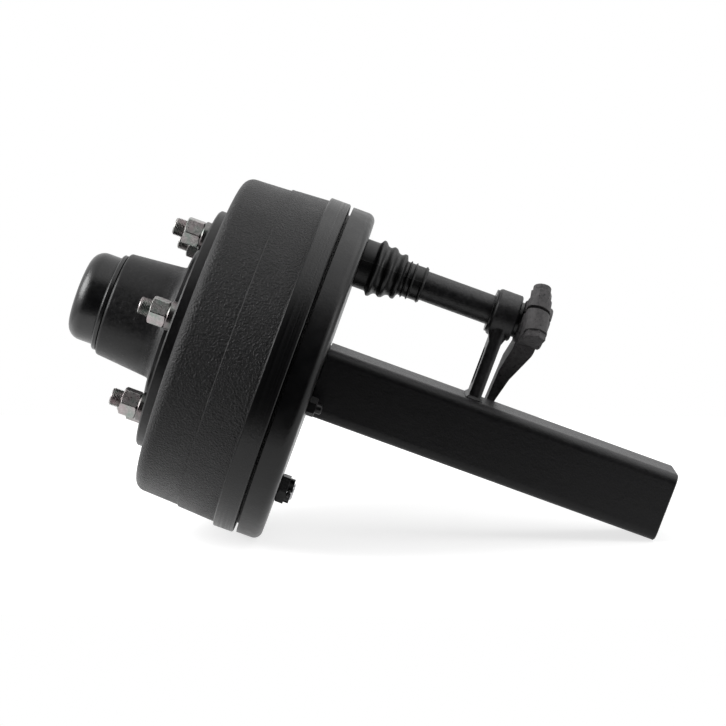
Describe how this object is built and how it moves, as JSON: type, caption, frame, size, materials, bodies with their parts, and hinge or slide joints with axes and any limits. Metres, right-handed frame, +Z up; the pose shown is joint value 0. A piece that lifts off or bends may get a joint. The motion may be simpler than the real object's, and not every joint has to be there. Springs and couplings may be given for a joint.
{
  "type": "braked stub axle",
  "caption": "Square beam stub axle with a flanged wheel hub, drum brake, cam lever with rubber boot, and wheel studs with nuts.",
  "frame": {"origin": "centre of the hub's wheel seating face, on the spin axis", "axes": "+Y along the spin axis towards the wheel, +Z up towards the camshaft, +X towards the rear, where the lever hangs"},
  "size_m": [0.3468, 0.6205, 0.3468],
  "materials": {
    "cast_black": "satin black paint over casting skin",
    "sheet_black": "satin black paint, smooth",
    "beam_black": "satin black paint over rolled steel",
    "forged_black": "satin black paint over forging skin",
    "fixing_black": "black painted fixing",
    "zinc": "bright zinc plate",
    "bright_steel": "ground bearing steel",
    "bronze": "bronze bush",
    "boot_rubber": "moulded rubber",
    "seal_rubber": "nitrile seal",
    "lining": "friction material"
  },
  "bodies": {
    "axle": {"axle_beam": "beam_black", "brake_flange": "forged_black", "dust_cover": "sheet_black", "cover_bolts": "fixing_black", "cover_nuts": "fixing_black", "anchor_pin": "bright_steel", "anchor_spacer": "bright_steel", "anchor_nut": "fixing_black", "anchor_cotter": "fixing_black", "cam_bush": "bronze", "cam_boot": "boot_rubber", "support_bracket": "forged_black", "support_bush": "fixing_black", "outer_bearing_cone": "bright_steel", "inner_bearing_cone": "bright_steel", "spindle_washer": "zinc", "spindle_nut": "zinc", "spindle_cotter": "zinc", "return_spring": "bright_steel"},
    "wheel_hub": {"hub": "cast_black", "brake_drum": "cast_black", "wheel_studs": "zinc", "wheel_nuts": "zinc", "wheel_washers": "zinc", "hub_cap": "sheet_black", "outer_bearing_cup": "bright_steel", "inner_bearing_cup": "bright_steel", "hub_seal": "seal_rubber"},
    "outer_roller_set": {"outer_rollers": "bright_steel", "outer_cage": "bright_steel"},
    "inner_roller_set": {"inner_rollers": "bright_steel", "inner_cage": "bright_steel"},
    "cam_lever": {"camshaft": "forged_black", "brake_lever": "forged_black", "lever_bolt": "fixing_black", "lever_nut": "fixing_black"},
    "shoe_front": {"front_shoe": "forged_black", "front_lining": "lining"},
    "shoe_rear": {"rear_shoe": "forged_black", "rear_lining": "lining"}
  },
  "joints": [
    {"name": "hub_spin", "type": "hinge", "parent": "axle", "child": "wheel_hub", "pos_m": [0, 0, 0], "axis": [0, 1, 0], "continuous": true},
    {"name": "outer_rollers_orbit", "type": "hinge", "parent": "axle", "child": "outer_roller_set", "pos_m": [0, 0.025, 0], "axis": [0, 1, 0], "continuous": true},
    {"name": "inner_rollers_orbit", "type": "hinge", "parent": "axle", "child": "inner_roller_set", "pos_m": [0, -0.042, 0], "axis": [0, 1, 0], "continuous": true},
    {"name": "camshaft_turn", "type": "hinge", "parent": "axle", "child": "cam_lever", "pos_m": [0, -0.3, 0.123], "axis": [0, -1, 0], "range_deg": [0, 12]},
    {"name": "front_shoe_swing", "type": "hinge", "parent": "axle", "child": "shoe_front", "pos_m": [0, -0.078, -0.118], "axis": [0, -1, 0], "range_deg": [0, 0.55], "deforming": ["return_spring"]},
    {"name": "rear_shoe_swing", "type": "hinge", "parent": "axle", "child": "shoe_rear", "pos_m": [0, -0.078, -0.118], "axis": [0, 1, 0], "range_deg": [0, 0.55]}
  ],
  "couplings": [
    {"joint": "outer_rollers_orbit", "follows": "hub_spin", "ratio": 0.5677},
    {"joint": "inner_rollers_orbit", "follows": "hub_spin", "ratio": 0.5513},
    {"joint": "front_shoe_swing", "follows": "camshaft_turn", "ratio": 0.0398},
    {"joint": "rear_shoe_swing", "follows": "camshaft_turn", "ratio": 0.0433}
  ]
}
